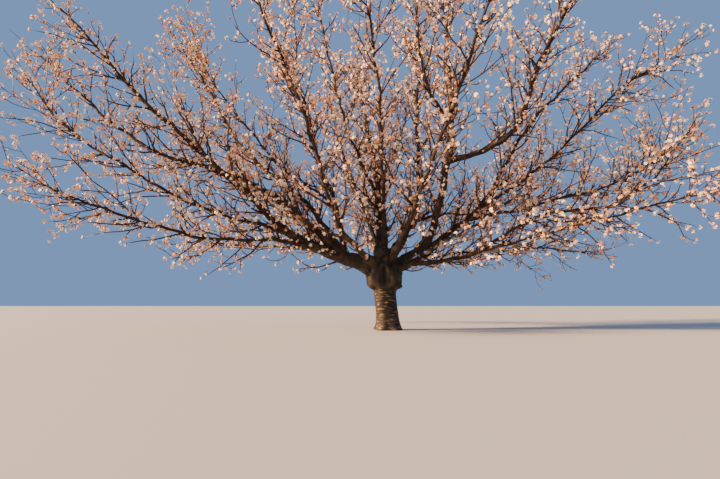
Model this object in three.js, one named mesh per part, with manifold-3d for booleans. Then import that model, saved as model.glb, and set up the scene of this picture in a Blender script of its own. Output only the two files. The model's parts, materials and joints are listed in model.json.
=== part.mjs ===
// A spreading cherry tree in blossom. A short trunk with a swollen graft carries long forking boughs, and
// each bough ends in a mass of twigs set with sprays of blossom. Millimetres and degrees, +Z up. The origin
// is the middle of the flat cut under the trunk. Compass headings run anticlockwise from +X, and the usual
// view looks along +Y.

import * as THREE from "three";
import { mergeVertices } from "three/addons/utils/BufferGeometryUtils.js";
import Module from "manifold-3d";

const wasm = await Module();
wasm.setup();

// The crown is a dome, drawn in a little towards the viewer, and clear of the ground
const CROWN = { radius: 7100, front: 4900, top: 8200, middle: 3200, base: 0, clear: 800 };

// The trunk from the ground up: its mean radius at each height, and its folds' depth as a share of that
const TRUNK_SIDES = 28;
const TRUNK_FOLDS = 5;
const FOLD_TURN = 20;
const TRUNK_LEAN = { over: -62, by: 750 };
const TRUNK_STATIONS = [
  { height: 0, radius: 270, fold: 0.12 },
  { height: 60, radius: 238, fold: 0.08 },
  { height: 170, radius: 216, fold: 0.04 },
  { height: 420, radius: 206, fold: 0.02 },
  { height: 680, radius: 208, fold: 0.02 },
  { height: 745, radius: 228, fold: 0.03 },
  { height: 790, radius: 274, fold: 0.05 },
  { height: 850, radius: 312, fold: 0.06 },
  { height: 960, radius: 325, fold: 0.07 },
  { height: 1070, radius: 326, fold: 0.06 },
  { height: 1160, radius: 292, fold: 0.05 },
  { height: 1240, radius: 215, fold: 0.04 },
  { height: 1290, radius: 115, fold: 0.02 },
];

// The sawn stump of a lost bough, in front of the middle bough
const STUMP = { height: 1170, azimuth: 246, rise: 46, length: 420, root: 104, tip: 114 };

// How limbs are drawn: the length of a step, how far each step may kink, and the collar at a limb's root
const BOUGH_STEP = 380;
const STEM_STEP = 860;
const LIMB_KINK = 6;
const TAPER_POWER = 1.9;
const COLLAR = { swell: 0.35, length: 130 };
const THICK_BOUGH = 60;
const THICK_SIDES = 7;
const THIN_SIDES = 5;

// The clear gap between two solids that meet, and how finely corners are told apart
const JOINT_GAP = 0.3;
const ROUNDING = 0.001;

// How far the edges that a cut leaves may be evened out, on a limb and on a mass: the first that works
const LIMB_TOLERANCES = [0.02, 0.005, 0.001];
const MASS_TOLERANCES = [3, 2, 1, 0.3, 0.02, 0.001];

// Each limb leaves the trunk at a height, or its parent limb at a distance from that limb's root. It has a
// length, and a compass heading and a rise above level at evenly spaced places from its root to its tip. Its
// first part is a bare bough, with a radius at its root and at its end. The rest is the stem of a mass.
const LIMBS = [
  {
    name: "left", from: "trunk", at: 1060, length: 8140, bare: 3600, radius: [175, 44],
    azimuth: [192, 192, 196, 202], rise: [19, 10, 25, 45, 44, 40, 36, 36, 43, 47, 46, 52],
  },
  {
    name: "left_middle", from: "left", at: 860, length: 7200, bare: 3000, radius: [90, 37],
    azimuth: [182, 182, 183, 188, 198, 206, 211], rise: [49, 43, 42, 32, 28, 16, 18, 30, 37, 42, 41, 44, 44],
  },
  {
    name: "left_high", from: "left", at: 820, length: 7200, bare: 2800, radius: [70, 35],
    azimuth: [166, 170], rise: [59, 55, 52, 36, 29, 46, 56, 57, 58, 59, 59, 59, 54],
  },
  {
    name: "left_upright", from: "left", at: 800, length: 6300, bare: 2500, radius: [62, 30],
    azimuth: [150, 140], rise: [82, 81, 68, 68, 77, 72, 63, 60, 59, 64],
  },
  {
    name: "left_low", from: "left", at: 1270, length: 4800, bare: 2300, radius: [48, 25],
    azimuth: [205, 205, 208, 211], rise: [14, 8, -8, 4, 5, 14, 12, 24, 36],
  },
  {
    name: "left_far", from: "left", at: 1720, length: 5850, bare: 2400, radius: [44, 24],
    azimuth: [190, 191, 194, 198, 201, 204], rise: [28, 18, 7, 20, 30, 31, 35, 43, 55, 66],
  },
  {
    name: "left_inner", from: "left_upright", at: 950, length: 4480, bare: 1200, radius: [30, 19],
    azimuth: [192, 188], rise: [48, 30, 34, 48, 50, 52, 54, 56],
  },
  {
    name: "middle", from: "trunk", at: 1150, length: 6300, bare: 2900, radius: [122, 48],
    azimuth: [102, 98], rise: [60, 76, 82, 60, 58, 64, 69, 71, 72],
  },
  {
    name: "middle_left", from: "middle", at: 1500, length: 5160, bare: 1500, radius: [40, 24],
    azimuth: [212, 206], rise: [62, 60, 66, 80, 80, 78, 78],
  },
  {
    name: "middle_back", from: "middle", at: 1800, length: 4000, bare: 1500, radius: [36, 22],
    azimuth: [68, 60], rise: [42, 52, 60, 66, 68],
  },
  {
    name: "right_upright", from: "trunk", at: 1160, length: 6750, bare: 2900, radius: [118, 43],
    azimuth: [48, 54], rise: [42, 48, 60, 90, 91, 89, 86, 84, 80, 80],
  },
  {
    name: "right_inner", from: "right_upright", at: 1000, length: 4600, bare: 2100, radius: [38, 22],
    azimuth: [15, 10], rise: [56, 10, 0, 16, 28, 38, 44, 48],
  },
  {
    name: "right_spread", from: "trunk", at: 1120, length: 7800, bare: 2900, radius: [92, 35],
    azimuth: [4, 8], rise: [25, 24, 31, 46, 55, 56, 50, 46, 42, 38, 37, 39, 40],
  },
  {
    name: "right_tall", from: "right_spread", at: 740, length: 5800, bare: 3000, radius: [82, 54],
    azimuth: [328, 318], rise: [50, 65, 81, 82, 87, 93, 91, 90, 90, 90],
  },
  {
    name: "right_fork", from: "right_tall", at: 2580, length: 3000, bare: 1100, radius: [46, 29],
    azimuth: [228, 232], rise: [15, 37, 73, 87, 92, 84],
  },
  {
    name: "right_knee", from: "right_tall", at: 1830, length: 4800, bare: 2500, radius: [58, 42],
    azimuth: [346, 344, 336, 334], rise: [11, 12, 24, 41, 64, 75, 81, 65, 53, 54, 57, 64, 71],
  },
  {
    name: "right_out", from: "right_spread", at: 2170, length: 5625, bare: 1900, radius: [40, 23],
    azimuth: [350, 346], rise: [27, 30, 37, 43, 47, 46, 34, 29, 32, 56],
  },
  {
    name: "right_far", from: "right_spread", at: 1870, length: 5625, bare: 2100, radius: [40, 23],
    azimuth: [6, 2], rise: [7, 8, 16, 16, 17, 19, 28, 40, 43, 40],
  },
  {
    name: "right_low", from: "trunk", at: 1040, length: 6000, bare: 2500, radius: [66, 28],
    azimuth: [342, 346], rise: [14, 8, 4, 24, 48, 8, -2, 20, 42, 50, 38],
  },
  {
    name: "right_lowest", from: "right_low", at: 1600, length: 4400, bare: 1700, radius: [34, 20],
    azimuth: [348, 344], rise: [11, 12, 9, 14, 15, 11, 7, 8],
  },
  {
    name: "back_left", from: "trunk", at: 1090, length: 6300, bare: 2900, radius: [98, 33],
    azimuth: [142, 150], rise: [22, 30, 34, 36, 38, 44],
  },
  {
    name: "back_left_low", from: "back_left", at: 1200, length: 4600, bare: 2000, radius: [44, 22],
    azimuth: [150, 158, 166], rise: [4, 12, 2, 3, -2, 6],
  },
  {
    name: "back_middle", from: "trunk", at: 1130, length: 6200, bare: 2900, radius: [92, 33],
    azimuth: [98, 88], rise: [32, 36, 38, 40, 42, 46],
  },
  {
    name: "back_upright", from: "back_middle", at: 800, length: 5400, bare: 2300, radius: [52, 26],
    azimuth: [128, 120], rise: [64, 60, 62, 66, 70],
  },
  {
    name: "back_right", from: "trunk", at: 1060, length: 6300, bare: 2900, radius: [90, 33],
    azimuth: [46, 34], rise: [16, 26, 32, 34, 38, 42],
  },
  {
    name: "back_right_low", from: "back_right", at: 1200, length: 5200, bare: 2000, radius: [44, 22],
    azimuth: [30, 14, 2], rise: [2, 9, 4, 3, 0, -8, 4],
  },
  {
    name: "front_left", from: "trunk", at: 1120, length: 6200, bare: 2400, radius: [80, 30],
    azimuth: [224, 228, 244, 250], rise: [16, 26, 66, 68, 56, 42, 34, 30],
  },
  {
    name: "front_middle", from: "trunk", at: 1190, length: 6000, bare: 2300, radius: [62, 27],
    azimuth: [262, 258], rise: [82, 76, 60, 48, 38, 34],
  },
  {
    name: "front_right", from: "trunk", at: 1110, length: 6200, bare: 2400, radius: [80, 30],
    azimuth: [302, 292], rise: [40, 50, 60, 52, 40, 34],
  },
];

// The rule of the masses. Side twigs leave a stem at the golden angle and at golden shares of its length,
// wander a little, and turn their tips up to the light. A twig that finds no room is skipped, and the next
// one tried is shorter.
const STEM_TIP_RADIUS = 7;
const TWIG = { count: 5, tries: 34, steps: 2, lift: 0.2, wander: 0.35, first: 0.04, last: 0.94, fork: 50 };
const TWIG_LENGTH = { share: 0.32, atTip: 0.5, atLastTry: 0.5, least: 0.8, most: 1.2 };
const TWIG_SLIM = 0.6;
const TWIG_TIP_RADIUS = 5;
const TWIG_SIDES = 3;
const GOLDEN_ANGLE = 137.5;
const GOLDEN_SHARE = 0.618;

// A mass keeps this far from the half-way line to its neighbours' stems, and its twigs this far from any
// limb, apart from the first part of a twig, which starts inside its own stem
const HOME_MARGIN = 60;
const LIMB_MARGIN = 25;
const TWIG_CLEAR_FROM = 0.3;

// A spray of blossom is a spindle that carries a shoot's tip on, or is rooted in the middle of the shoot and
// leans out from its side
const SPRAY = { length: 430, width: 230, point: 1, splay: 34 };
const STEM_SPRAYS = [0.35, 0.7];
const TWIG_SPRAYS = [0.3, 0.65];

// Where along a spray its clearance from the neighbouring masses is tested, and the room it needs there. The
// stretch between the two other shares is kept clear of limbs.
const SPRAY_GUARDS = [
  { at: 0.5, reach: SPRAY.width / 2 },
  { at: 0.75, reach: SPRAY.width / 3 },
  { at: 1, reach: 20 },
];
const SPRAY_CLEAR = { from: 0.2, to: 0.9 };

// Which of a shoot's random numbers settles what, and which of a limb's children is its stem. The first few
// numbers are kept for the steps of its path.
const DRAW = { firstTwig: 20, twigTurn: 21, vigour: 22, sprayTurn: 40 };
const STEM_PLACE = 500;

const UP = new THREE.Vector3(0, 0, 1);
const EAST = new THREE.Vector3(1, 0, 0);

const bark = new THREE.MeshStandardMaterial({ color: 0x4a382c, roughness: 0.92, metalness: 0 });
const petals = new THREE.MeshStandardMaterial({ color: 0xf1d3c4, roughness: 0.7, metalness: 0 });

const radians = THREE.MathUtils.degToRad;
const mix = THREE.MathUtils.lerp;

// A number from 0 to 1 that depends only on two whole numbers, so every twig can be grown again by itself
function chance(seed, draw) {
  let mixed = Math.imul(seed ^ Math.imul(draw + 1, 0x9e3779b1), 0x85ebca6b) >>> 0;
  mixed = Math.imul(mixed ^ (mixed >>> 13), 0xc2b2ae35) >>> 0;
  return ((mixed ^ (mixed >>> 16)) >>> 0) / 4294967296;
}

// The seed of a shoot's child, told from its own seed and the child's place
function childSeed(seed, place) {
  return (Math.imul(seed, 31) + place + 1) >>> 0;
}

function headingOf(azimuth, rise) {
  const level = Math.cos(radians(rise));
  return new THREE.Vector3(
    level * Math.cos(radians(azimuth)),
    level * Math.sin(radians(azimuth)),
    Math.sin(radians(rise)),
  );
}

// Two directions square to a heading and to each other
function across(heading) {
  const reference = Math.abs(heading.z) > 0.95 ? EAST : UP;
  const side = heading.clone().cross(reference).normalize();
  const over = side.clone().cross(heading);
  return { side, over };
}

// The value at a share of the way through evenly spaced ones
function valueAlong(values, share) {
  const place = share * (values.length - 1);
  const before = Math.min(Math.floor(place), values.length - 2);
  return mix(values[before], values[before + 1], place - before);
}

function trunkCentre(height) {
  const share = Math.min(height / TRUNK_LEAN.by, 1);
  return new THREE.Vector3(TRUNK_LEAN.over * share * share * (3 - 2 * share), 0, height);
}

// A point at a share of a path's length, where all steps are alike
function pointAt(points, share) {
  const place = share * (points.length - 1);
  const step = Math.min(Math.floor(place), points.length - 2);
  return points[step].clone().lerp(points[step + 1], place - step);
}

function headingAt(points, share) {
  const step = Math.min(Math.floor(share * (points.length - 1)), points.length - 2);
  return points[step + 1].clone().sub(points[step]).normalize();
}

function boughRadius(limb, share) {
  const [root, end] = limb.radius;
  const taper = end + (root - end) * Math.pow(1 - share, TAPER_POWER);
  return taper * (1 + COLLAR.swell * Math.exp((-share * limb.bare) / COLLAR.length));
}

// A value for every point of a path, told from its share of the length
function forEachPoint(points, valueAt) {
  return points.map((_, i) => valueAt(i / (points.length - 1)));
}

// The points of a stretch of a limb, in even steps of about the given length
function limbStretch(limb, start, from, to, step, seed) {
  const steps = Math.round((to - from) / step);
  const points = [start];
  for (let i = 0; i < steps; i++) {
    const share = mix(from, to, (i + 0.5) / steps) / limb.length;
    const azimuth = valueAlong(limb.azimuth, share) + LIMB_KINK * (2 * chance(seed, 2 * i) - 1);
    const rise = valueAlong(limb.rise, share) + LIMB_KINK * (2 * chance(seed, 2 * i + 1) - 1);
    points.push(points[i].clone().addScaledVector(headingOf(azimuth, rise), (to - from) / steps));
  }
  return points;
}

function insideCrown(point) {
  const depth = point.y < 0 ? CROWN.front : CROWN.radius;
  const height = point.z > CROWN.middle ? CROWN.top - CROWN.middle : CROWN.middle - CROWN.base;
  const share = Math.hypot(point.x / CROWN.radius, point.y / depth, (point.z - CROWN.middle) / height);
  return share < 1 && point.z > CROWN.clear;
}

// A shoot's points: its first step keeps the heading it was given, and the next ones wander and lift
function shootPath(start, heading, length, rule, seed) {
  const points = [start];
  const along = heading.clone();
  for (let i = 0; i < rule.steps; i++) {
    points.push(points[i].clone().addScaledVector(along, length / rule.steps));
    const { side, over } = across(along);
    along.addScaledVector(side, rule.wander * (chance(seed, 2 * i) - 0.5));
    along.addScaledVector(over, rule.wander * (chance(seed, 2 * i + 1) - 0.5));
    along.z += rule.lift / rule.steps;
    along.normalize();
  }
  return points;
}

// The least distance between the segments a0-a1 and b0-b1
function segmentGap(a0, a1, b0, b1) {
  const u = a1.clone().sub(a0);
  const v = b1.clone().sub(b0);
  const w = a0.clone().sub(b0);
  const uu = u.dot(u);
  const uv = u.dot(v);
  const vv = v.dot(v);
  const uw = u.dot(w);
  const vw = v.dot(w);
  const spread = uu * vv - uv * uv;
  const clamp = (value) => Math.min(Math.max(value, 0), 1);
  let s = spread > 1e-6 ? clamp((uv * vw - vv * uw) / spread) : 0;
  const t = clamp((uv * s + vw) / vv);
  s = clamp((uv * t - uw) / uu);
  return w.addScaledVector(u, s).addScaledVector(v, -t).length();
}

function gapToPath(point, points) {
  let least = Infinity;
  for (let i = 1; i < points.length; i++) {
    const edge = points[i].clone().sub(points[i - 1]);
    const share = point.clone().sub(points[i - 1]).dot(edge) / edge.lengthSq();
    const nearest = points[i - 1].clone().addScaledVector(edge, THREE.MathUtils.clamp(share, 0, 1));
    least = Math.min(least, nearest.distanceTo(point));
  }
  return least;
}

// A cylinder bent along a path, with a radius at every point. Its root faces the given heading, if any.
function tubeAlong(points, sides, radii, rootHeading) {
  const steps = points.length - 1;
  const geometry = new THREE.CylinderGeometry(1, 1, 1, sides, steps);
  const place = geometry.getAttribute("position");
  const vertex = new THREE.Vector3();
  const frames = points.map((_, i) => {
    const before = points[Math.max(i - 1, 0)];
    const after = points[Math.min(i + 1, steps)];
    return after.clone().sub(before).normalize();
  });
  if (rootHeading) frames[0] = rootHeading;
  const { side } = across(frames[0]);
  const sideways = frames.map((along) => side.addScaledVector(along, -side.dot(along)).normalize().clone());
  for (let i = 0; i < place.count; i++) {
    vertex.fromBufferAttribute(place, i);
    const ring = Math.round((vertex.y + 0.5) * steps);
    const over = sideways[ring].clone().cross(frames[ring]);
    const at = points[ring].clone().addScaledVector(sideways[ring], vertex.x * radii[ring]);
    at.addScaledVector(over, vertex.z * radii[ring]);
    place.setXYZ(i, at.x, at.y, at.z);
  }
  return geometry;
}

function trunkGeometry(growth) {
  const stations = TRUNK_STATIONS.length - 1;
  const geometry = new THREE.CylinderGeometry(1, 1, 1, TRUNK_SIDES, stations);
  const place = geometry.getAttribute("position");
  for (let i = 0; i < place.count; i++) {
    const station = TRUNK_STATIONS[Math.round((place.getY(i) + 0.5) * stations)];
    const turn = Math.atan2(-place.getZ(i), place.getX(i));
    const fold = 1 + station.fold * Math.cos(TRUNK_FOLDS * (turn - radians(FOLD_TURN)));
    const radius = Math.hypot(place.getX(i), place.getZ(i)) * (station.radius * fold + growth);
    const centre = trunkCentre(station.height);
    const rise = station === TRUNK_STATIONS.at(-1) ? growth : 0;
    place.setXYZ(i, centre.x + radius * Math.cos(turn), radius * Math.sin(turn), station.height + rise);
  }
  return geometry;
}

// The points and radii of a spray, which swells from its root to its middle and closes to a point
function sprayShape({ root, heading }) {
  const swell = root.clone().addScaledVector(heading, SPRAY.length / 2);
  const end = root.clone().addScaledVector(heading, SPRAY.length);
  return { points: [root, swell, end], radii: [SPRAY.point, SPRAY.width / 2, SPRAY.point] };
}

function solidFrom(geometry) {
  const bare = geometry.clone();
  bare.deleteAttribute("normal");
  bare.deleteAttribute("uv");
  const merged = mergeVertices(bare, ROUNDING);
  return new wasm.Manifold(
    new wasm.Mesh({
      numProp: 3,
      vertProperties: merged.getAttribute("position").array,
      triVerts: new Uint32Array(merged.index.array),
    }),
  );
}

// True if every edge of a solid is shared by just two faces once its corners are rounded
function edgesAreSound(solid) {
  const { vertProperties, triVerts } = solid.getMesh();
  const corner = (index) => {
    const place = vertProperties.slice(3 * index, 3 * index + 3);
    return Array.from(place, (value) => Math.round(value / ROUNDING)).join(" ");
  };
  const uses = new Map();
  for (let i = 0; i < triVerts.length; i += 3) {
    for (const [from, to] of [[0, 1], [1, 2], [2, 0]]) {
      const edge = [corner(triVerts[i + from]), corner(triVerts[i + to])].sort().join("|");
      uses.set(edge, (uses.get(edge) ?? 0) + 1);
    }
  }
  return [...uses.values()].every((count) => count === 2);
}

// The largest piece of a solid, without slivers and loose scraps
function cleaned(solid, tolerances) {
  for (const tolerance of tolerances) {
    const pieces = solid.asOriginal().simplify(tolerance).decompose();
    const largest = pieces.reduce((best, piece) => (piece.volume() > best.volume() ? piece : best));
    if (edgesAreSound(largest)) return largest;
  }
  throw new Error("a solid has no sound form");
}

function meshOf(name, solid, origin, material) {
  const data = solid.getMesh();
  const geometry = new THREE.BufferGeometry();
  geometry.setAttribute("position", new THREE.BufferAttribute(new Float32Array(data.vertProperties), 3));
  geometry.setIndex(new THREE.BufferAttribute(new Uint32Array(data.triVerts), 1));
  geometry.translate(-origin.x, -origin.y, -origin.z);
  geometry.computeVertexNormals();
  const mesh = new THREE.Mesh(geometry, material);
  mesh.name = name;
  mesh.position.copy(origin);
  return mesh;
}

// Every limb's bough and stem, in the order of the list, so a parent is always ready before its children
function layOutLimbs() {
  const laid = new Map();
  LIMBS.forEach((limb, index) => {
    const parent = laid.get(limb.from);
    const start = parent ? pointAt(parent.points, limb.at / parent.bare) : trunkCentre(limb.at);
    const seed = childSeed(index, 0);
    const points = limbStretch(limb, start, 0, limb.bare, BOUGH_STEP, seed);
    const radii = forEachPoint(points, (share) => boughRadius(limb, share));
    const heading = headingAt(points, 1);
    const stemSeed = childSeed(seed, STEM_PLACE);
    const stemStart = points.at(-1).clone().addScaledVector(heading, JOINT_GAP);
    const stemEnd = limb.length - SPRAY.length;
    const stem = {
      seed: stemSeed,
      points: limbStretch(limb, stemStart, limb.bare, stemEnd, STEM_STEP, stemSeed),
      length: stemEnd - limb.bare,
      radius: [limb.radius[1], STEM_TIP_RADIUS],
      heading,
    };
    laid.set(limb.name, { ...limb, points, radii, stem });
  });
  return [...laid.values()];
}

// True if a point is well inside a stem's space, which is nearer to it than to any other stem
function atHome(point, stem, stems, margin) {
  if (!insideCrown(point)) return false;
  const own = gapToPath(point, stem.points);
  return stems.every((other) => other === stem || gapToPath(point, other.points) > own + 2 * margin);
}

function clearOfLimbs(from, to, radius, limbs) {
  const room = radius + LIMB_MARGIN;
  return limbs.every(({ points, radii }) =>
    points.slice(1).every((point, i) => segmentGap(from, to, points[i], point) > room + radii[i]),
  );
}

// A path's heading at a share of its length, and a direction square to it that turns by the golden angle for
// each place
function outwardAt(points, share, place, turn) {
  const along = headingAt(points, share);
  const { side, over } = across(along);
  const roll = radians(GOLDEN_ANGLE * place + 360 * turn);
  return { along, outward: side.multiplyScalar(Math.cos(roll)).addScaledVector(over, Math.sin(roll)) };
}

function leaning(along, outward, angle) {
  const leant = along.clone().multiplyScalar(Math.cos(radians(angle)));
  return leant.addScaledVector(outward, Math.sin(radians(angle)));
}

// The side sprays of one shoot, which lean out from it all round
function sprayPlaces(points, shares, seed) {
  return shares.map((share, i) => {
    const { along, outward } = outwardAt(points, share, i, chance(seed, DRAW.sprayTurn));
    return { root: pointAt(points, share), heading: leaning(along, outward, SPRAY.splay) };
  });
}

// The spray that carries a shoot's tip on
function tipSpray(points) {
  return { root: points.at(-1), heading: headingAt(points, 1) };
}

function sprayFits({ root, heading }, stem, stems, limbs) {
  const out = (share) => root.clone().addScaledVector(heading, SPRAY.length * share);
  const homely = SPRAY_GUARDS.every(({ at, reach }) => atHome(out(at), stem, stems, reach));
  return homely && clearOfLimbs(out(SPRAY_CLEAR.from), out(SPRAY_CLEAR.to), SPRAY.width / 2, limbs);
}

// The side twig at one place on a stem: its path, and its radius at the root and at the tip
function twigAt(stem, place) {
  const seed = childSeed(stem.seed, place);
  const turns = GOLDEN_SHARE * place + chance(stem.seed, DRAW.firstTwig);
  const share = mix(TWIG.first, TWIG.last, turns % 1);
  const { along, outward } = outwardAt(stem.points, share, place, chance(stem.seed, DRAW.twigTurn));
  const vigour = mix(TWIG_LENGTH.least, TWIG_LENGTH.most, chance(seed, DRAW.vigour));
  const shortened = mix(1, TWIG_LENGTH.atTip, share) * mix(1, TWIG_LENGTH.atLastTry, place / TWIG.tries);
  const length = stem.length * TWIG_LENGTH.share * vigour * shortened;
  const heading = leaning(along, outward, TWIG.fork);
  const points = shootPath(pointAt(stem.points, share), heading, length, TWIG, seed);
  const root = TWIG_SLIM * mix(...stem.radius, share);
  return { seed, points, radius: [root, TWIG_TIP_RADIUS] };
}

function twigFits(twig, stem, stems, limbs) {
  const homely = twig.points.slice(1).every((point) => atHome(point, stem, stems, HOME_MARGIN));
  const start = twig.points[0].clone().lerp(twig.points[1], TWIG_CLEAR_FROM);
  const clear = twig.points.slice(1).every((point, i) =>
    clearOfLimbs(i === 0 ? start : twig.points[i], point, twig.radius[0], limbs),
  );
  return homely && clear && sprayFits(tipSpray(twig.points), stem, stems, limbs);
}

// One mass: its stem, the side twigs that find room, and the sprays that find room on them, fused
function massSolid(stem, stems, limbs) {
  const shapes = [];
  const addShoot = ({ seed, points, radius, heading }, sprayShares) => {
    const radii = forEachPoint(points, (share) => mix(...radius, share));
    const tip = sprayShape(tipSpray(points));
    const wholePath = [...points, ...tip.points.slice(1)];
    const wholeRadii = [...radii, ...tip.radii.slice(1)];
    shapes.push(solidFrom(tubeAlong(wholePath, TWIG_SIDES, wholeRadii, heading)));
    for (const spray of sprayPlaces(points, sprayShares, seed)) {
      if (!sprayFits(spray, stem, stems, limbs)) continue;
      const shape = sprayShape(spray);
      shapes.push(solidFrom(tubeAlong(shape.points, TWIG_SIDES, shape.radii)));
    }
  };
  addShoot(stem, STEM_SPRAYS);
  let twigs = 0;
  for (let place = 0; place < TWIG.tries && twigs < TWIG.count; place++) {
    const twig = twigAt(stem, place);
    if (!twigFits(twig, stem, stems, limbs)) continue;
    twigs += 1;
    addShoot(twig, TWIG_SPRAYS);
  }
  return cleaned(wasm.Manifold.union(shapes), MASS_TOLERANCES);
}

const tree = new THREE.Group();
tree.add(meshOf("trunk", solidFrom(trunkGeometry(0)), new THREE.Vector3(), bark));

// Each limb is cut back clear of every limb before it, which it is rooted in or leans against
const grown = [solidFrom(trunkGeometry(JOINT_GAP))];
function addLimb(name, points, sides, radii) {
  const clearance = JOINT_GAP / Math.cos(Math.PI / sides);
  let solid = solidFrom(tubeAlong(points, sides, radii));
  for (const other of grown) solid = solid.subtract(other);
  grown.push(solidFrom(tubeAlong(points, sides, radii.map((radius) => radius + clearance))));
  tree.add(meshOf(name, cleaned(solid, LIMB_TOLERANCES), points[0], bark));
}

const limbs = layOutLimbs();
for (const limb of limbs) {
  const sides = limb.radius[0] >= THICK_BOUGH ? THICK_SIDES : THIN_SIDES;
  addLimb("bough_" + limb.name, limb.points, sides, limb.radii);
}

const stumpRoot = trunkCentre(STUMP.height);
const stumpTip = stumpRoot.clone().addScaledVector(headingOf(STUMP.azimuth, STUMP.rise), STUMP.length);
addLimb("sawn_stump", [stumpRoot, stumpTip], THICK_SIDES, [STUMP.root, STUMP.tip]);

const stems = limbs.map((limb) => limb.stem);
for (const limb of limbs) {
  const mass = massSolid(limb.stem, stems, limbs);
  tree.add(meshOf("blossom_" + limb.name, mass, limb.stem.points[0], petals));
}

export default tree;
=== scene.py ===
# A spreading cherry tree in full blossom. Limbs, twigs and sprays follow the same rule as the solids that
# they replace, carried on to finer shoots, spurs and single flowers. Metres and degrees, +Z up. Compass
# headings run anticlockwise from +X.

import json
import math
from types import SimpleNamespace as Record

import bmesh
import bpy
import numpy as np
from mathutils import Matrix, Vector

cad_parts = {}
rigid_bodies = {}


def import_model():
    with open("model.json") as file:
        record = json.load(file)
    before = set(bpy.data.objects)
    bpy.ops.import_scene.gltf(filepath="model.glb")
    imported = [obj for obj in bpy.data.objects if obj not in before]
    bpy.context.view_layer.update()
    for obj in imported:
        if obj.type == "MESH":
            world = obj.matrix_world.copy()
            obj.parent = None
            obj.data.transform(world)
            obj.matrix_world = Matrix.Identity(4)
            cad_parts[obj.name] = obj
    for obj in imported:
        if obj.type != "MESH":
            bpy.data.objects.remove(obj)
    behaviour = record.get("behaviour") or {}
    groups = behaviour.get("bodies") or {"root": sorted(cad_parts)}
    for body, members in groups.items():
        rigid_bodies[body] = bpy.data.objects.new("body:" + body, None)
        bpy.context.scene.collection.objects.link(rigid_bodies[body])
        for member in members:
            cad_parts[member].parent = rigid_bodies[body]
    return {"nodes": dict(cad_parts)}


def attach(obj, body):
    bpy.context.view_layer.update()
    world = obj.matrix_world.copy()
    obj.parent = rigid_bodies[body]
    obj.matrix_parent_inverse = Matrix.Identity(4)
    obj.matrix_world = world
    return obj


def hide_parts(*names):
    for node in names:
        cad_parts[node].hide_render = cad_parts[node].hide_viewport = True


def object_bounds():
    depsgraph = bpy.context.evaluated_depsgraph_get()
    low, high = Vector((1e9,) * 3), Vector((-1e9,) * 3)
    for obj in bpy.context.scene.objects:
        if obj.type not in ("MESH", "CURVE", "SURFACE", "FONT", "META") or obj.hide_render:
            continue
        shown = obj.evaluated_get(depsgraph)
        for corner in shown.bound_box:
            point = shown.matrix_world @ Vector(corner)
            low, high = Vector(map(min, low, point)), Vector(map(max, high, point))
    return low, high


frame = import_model()
cad_low, cad_high = [np.array(corner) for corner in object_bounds()]
nodes = sorted(frame["nodes"])

# The crown, the trunk and the sawn stump, as in the solids
CROWN = Record(radius=7.1, front=4.9, top=8.2, middle=3.2, clear=0.8)
TRUNK_LEAN = Record(over=-0.062, by=0.75)
TRUNK_FOLDS = 5
FOLD_TURN = 20
# Height, radius and depth of the folds round the trunk
TRUNK_STATIONS = [
    (0.0, 0.27, 0.12), (0.06, 0.238, 0.08), (0.17, 0.216, 0.04), (0.42, 0.206, 0.02), (0.68, 0.208, 0.02),
    (0.745, 0.228, 0.03), (0.79, 0.274, 0.05), (0.85, 0.312, 0.06), (0.96, 0.325, 0.07), (1.07, 0.326, 0.06),
    (1.16, 0.292, 0.05), (1.24, 0.215, 0.04), (1.29, 0.115, 0.02),
]
STUMP = Record(height=1.17, azimuth=246, rise=46, length=0.42, root=0.104, tip=0.114)

# How limbs are drawn, as in the solids
BOUGH_STEP = 0.38
STEM_STEP = 0.86
LIMB_KINK = 6
TAPER_POWER = 1.9
COLLAR = Record(swell=0.35, length=0.13)

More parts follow.
